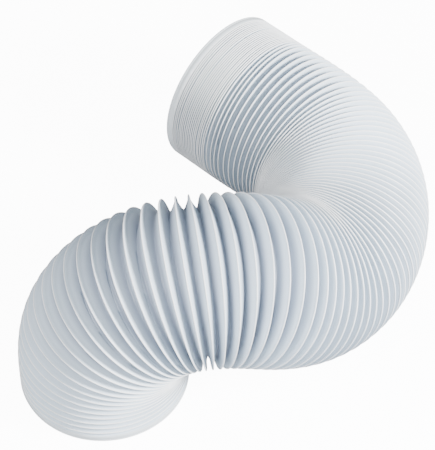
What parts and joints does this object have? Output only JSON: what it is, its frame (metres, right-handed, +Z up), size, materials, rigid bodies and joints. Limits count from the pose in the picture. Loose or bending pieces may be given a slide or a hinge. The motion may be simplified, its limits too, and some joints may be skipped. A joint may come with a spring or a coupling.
{
  "type": "flexible air duct",
  "caption": "Pleated plastic air hose laid in an S: one mouth stands on the floor, the hose arches over, turns back and lies down with its last pleats pressed together",
  "frame": {"origin": "centre of the standing mouth, on the floor", "axes": "+Z up; the first stretch rises along +Z, the arch runs towards +X, the floor bend turns back over +Y and the lying mouth faces -X and +Y"},
  "size_m": [0.3645, 0.408, 0.194],
  "materials": {
    "pleated_film": "satin white polypropylene film, slightly translucent",
    "hooked_seam": "satin white polypropylene, two layers hooked together",
    "end_band": "satin white polypropylene"
  },
  "bodies": {
    "standing_end": {"standing_end_band": "end_band"},
    "ring_01": {"seam_turn_01": "hooked_seam", "pleats_01": "pleated_film"},
    "ring_02": {"seam_turn_02": "hooked_seam", "pleats_02": "pleated_film"},
    "ring_03": {"seam_turn_03": "hooked_seam", "pleats_03": "pleated_film"},
    "ring_04": {"seam_turn_04": "hooked_seam", "pleats_04": "pleated_film"},
    "ring_05": {"seam_turn_05": "hooked_seam", "pleats_05": "pleated_film"},
    "ring_06": {"seam_turn_06": "hooked_seam", "pleats_06": "pleated_film"},
    "ring_07": {"seam_turn_07": "hooked_seam", "pleats_07": "pleated_film"},
    "ring_08": {"seam_turn_08": "hooked_seam", "pleats_08": "pleated_film"},
    "ring_09": {"seam_turn_09": "hooked_seam", "pleats_09": "pleated_film"},
    "ring_10": {"seam_turn_10": "hooked_seam", "pleats_10": "pleated_film"},
    "ring_11": {"seam_turn_11": "hooked_seam", "pleats_11": "pleated_film"},
    "ring_12": {"seam_turn_12": "hooked_seam", "pleats_12": "pleated_film"},
    "ring_13": {"seam_turn_13": "hooked_seam", "pleats_13": "pleated_film"},
    "ring_14": {"seam_turn_14": "hooked_seam", "pleats_14": "pleated_film"},
    "ring_15": {"seam_turn_15": "hooked_seam", "pleats_15": "pleated_film"},
    "ring_16": {"seam_turn_16": "hooked_seam", "pleats_16": "pleated_film"},
    "ring_17": {"seam_turn_17": "hooked_seam", "pleats_17": "pleated_film"},
    "ring_18": {"seam_turn_18": "hooked_seam", "pleats_18": "pleated_film"},
    "ring_19": {"seam_turn_19": "hooked_seam", "pleats_19": "pleated_film"},
    "ring_20": {"seam_turn_20": "hooked_seam", "pleats_20": "pleated_film", "pleats_21": "pleated_film"},
    "ring_21": {"seam_turn_21": "hooked_seam", "pleats_22": "pleated_film"},
    "ring_22": {"seam_turn_22": "hooked_seam", "pleats_23": "pleated_film"},
    "ring_23": {"seam_turn_23": "hooked_seam", "pleats_24": "pleated_film"},
    "ring_24": {"seam_turn_24": "hooked_seam", "pleats_25": "pleated_film"},
    "ring_25": {"seam_turn_25": "hooked_seam", "pleats_26": "pleated_film"},
    "ring_26": {"seam_turn_26": "hooked_seam", "pleats_27": "pleated_film"},
    "ring_27": {"seam_turn_27": "hooked_seam", "pleats_28": "pleated_film"},
    "lying_end": {"lying_end_band": "end_band"}
  },
  "joints": [
    {"name": "stretch_01", "type": "slide", "parent": "ring_01", "child": "standing_end", "axis": [-0.0301, -0.0035, -0.9995], "range_m": [-0.016, 0.03], "deforming": ["pleats_01"]},
    {"name": "sway_02", "type": "hinge", "parent": "ring_02", "child": "ring_01", "pos_m": [0.00406, 0.00033, 0.05496], "axis": [0.9655, 0.0307, -0.2585], "range_deg": [-3, 3], "deforming": ["pleats_02"]},
    {"name": "bend_03", "type": "hinge", "parent": "ring_03", "child": "ring_02", "pos_m": [0.07725, 0.0044, 0.03775], "axis": [-0.054, 0.9985, 0.0034], "range_deg": [-1, 4], "deforming": ["pleats_03"]},
    {"name": "bend_04", "type": "hinge", "parent": "ring_04", "child": "ring_03", "pos_m": [0.07827, 0.00802, 0.03957], "axis": [-0.0924, 0.9952, 0.0311], "range_deg": [-1, 4], "deforming": ["pleats_04"]},
    {"name": "bend_05", "type": "hinge", "parent": "ring_05", "child": "ring_04", "pos_m": [0.08018, 0.00787, 0.04134], "axis": [-0.0912, 0.9955, 0.0271], "range_deg": [-1, 4], "deforming": ["pleats_05"]},
    {"name": "sway_06", "type": "hinge", "parent": "ring_06", "child": "ring_05", "pos_m": [0.04861, 0.0031, 0.1095], "axis": [0.4496, 0.0361, -0.8925], "range_deg": [-3, 3], "deforming": ["pleats_06"]},
    {"name": "bend_07", "type": "hinge", "parent": "ring_07", "child": "ring_06", "pos_m": [0.08388, 0.01056, 0.04345], "axis": [-0.0942, 0.9937, 0.0611], "range_deg": [-1, 4], "deforming": ["pleats_07"]},
    {"name": "bend_08", "type": "hinge", "parent": "ring_08", "child": "ring_07", "pos_m": [0.08609, 0.02062, 0.04528], "axis": [-0.1159, 0.9749, 0.1898], "range_deg": [-1, 4], "deforming": ["pleats_08"]},
    {"name": "bend_09", "type": "hinge", "parent": "ring_09", "child": "ring_08", "pos_m": [0.08934, 0.02705, 0.04674], "axis": [-0.1169, 0.9558, 0.2696], "range_deg": [-1, 4], "deforming": ["pleats_09"]},
    {"name": "sway_10", "type": "hinge", "parent": "ring_10", "child": "ring_09", "pos_m": [0.11366, 0.01046, 0.11617], "axis": [-0.2815, 0.2588, -0.924], "range_deg": [-3, 3], "deforming": ["pleats_10"]},
    {"name": "bend_11", "type": "hinge", "parent": "ring_11", "child": "ring_10", "pos_m": [0.09588, 0.05415, 0.05681], "axis": [0.0413, 0.8138, 0.5797], "range_deg": [-1, 4], "deforming": ["pleats_11"]},
    {"name": "bend_12", "type": "hinge", "parent": "ring_12", "child": "ring_11", "pos_m": [0.12016, 0.09023, 0.10281], "axis": [0.4568, 0.1561, 0.8758], "range_deg": [-1, 5], "deforming": ["pleats_12"]},
    {"name": "sway_13", "type": "hinge", "parent": "ring_13", "child": "ring_12", "pos_m": [0.16545, 0.03058, 0.09013], "axis": [-0.2706, 0.8093, 0.5213], "range_deg": [-3, 3], "deforming": ["pleats_13"]},
    {"name": "bend_14", "type": "hinge", "parent": "ring_14", "child": "ring_13", "pos_m": [0.15662, 0.0888, 0.13719], "axis": [0.6633, -0.4073, 0.6279], "range_deg": [-1, 5], "deforming": ["pleats_14"]},
    {"name": "bend_15", "type": "hinge", "parent": "ring_15", "child": "ring_14", "pos_m": [0.14846, 0.09657, 0.12501], "axis": [0.5684, -0.2779, 0.7744], "range_deg": [-1, 5], "deforming": ["pleats_15"]},
    {"name": "bend_16", "type": "hinge", "parent": "ring_16", "child": "ring_15", "pos_m": [0.1406, 0.10418, 0.10634], "axis": [0.3805, -0.122, 0.9167], "range_deg": [0, 5], "deforming": ["pleats_16"]},
    {"name": "lift_17", "type": "hinge", "parent": "ring_17", "child": "ring_16", "pos_m": [0.2064, 0.08271, 0.07603], "axis": [-0.9001, 0.3584, 0.2477], "range_deg": [0, 3], "deforming": ["pleats_17"]},
    {"name": "bend_18", "type": "hinge", "parent": "ring_18", "child": "ring_17", "pos_m": [0.13881, 0.11513, 0.08572], "axis": [0.1357, -0.0143, 0.9906], "range_deg": [0, 5], "deforming": ["pleats_18"]},
    {"name": "bend_19", "type": "hinge", "parent": "ring_19", "child": "ring_18", "pos_m": [0.13937, 0.12209, 0.07923], "axis": [0.0518, 0.0014, 0.9987], "range_deg": [0, 5], "deforming": ["pleats_19"]},
    {"name": "lift_20", "type": "hinge", "parent": "ring_20", "child": "ring_19", "pos_m": [0.21422, 0.13312, 0.07531], "axis": [-0.998, -0.0638, 0.004], "range_deg": [0, 3], "deforming": ["pleats_20"]},
    {"name": "bend_21", "type": "hinge", "parent": "ring_20", "child": "ring_21", "pos_m": [0.1385, 0.1343, 0.07505], "axis": [0.0034, -0.0021, -1], "range_deg": [0, 5], "deforming": ["pleats_21"]},
    {"name": "bend_22", "type": "hinge", "parent": "ring_21", "child": "ring_22", "pos_m": [0.13684, 0.13966, 0.07522], "axis": [0.001, -0.0028, -1], "range_deg": [0, 5], "deforming": ["pleats_22"]},
    {"name": "lift_23", "type": "hinge", "parent": "ring_22", "child": "ring_23", "pos_m": [0.19798, 0.18399, 0.07516], "axis": [0.8426, 0.5385, -0.0021], "range_deg": [0, 3], "deforming": ["pleats_23"]},
    {"name": "bend_24", "type": "hinge", "parent": "ring_23", "child": "ring_24", "pos_m": [0.12769, 0.15245, 0.07543], "axis": [-0.0018, -0.0046, -1], "range_deg": [-1, 5], "deforming": ["pleats_24"]},
    {"name": "stretch_25", "type": "slide", "parent": "ring_24", "child": "ring_25", "axis": [-0.7365, 0.6764, -0.0017], "range_m": [-0.016, 0.03], "deforming": ["pleats_25"]},
    {"name": "sway_26", "type": "hinge", "parent": "ring_25", "child": "ring_26", "pos_m": [0.14295, 0.24092, 0.075], "axis": [0, 0, 1], "range_deg": [-4, 4], "deforming": ["pleats_26"]},
    {"name": "stretch_27", "type": "slide", "parent": "ring_26", "child": "ring_27", "axis": [-0.73, 0.6835, 0.0002], "range_m": [0, 0.08], "deforming": ["pleats_27"]},
    {"name": "stretch_28", "type": "slide", "parent": "ring_27", "child": "lying_end", "axis": [-0.7321, 0.6812, 0.0001], "range_m": [0, 0.08], "deforming": ["pleats_28"]}
  ]
}
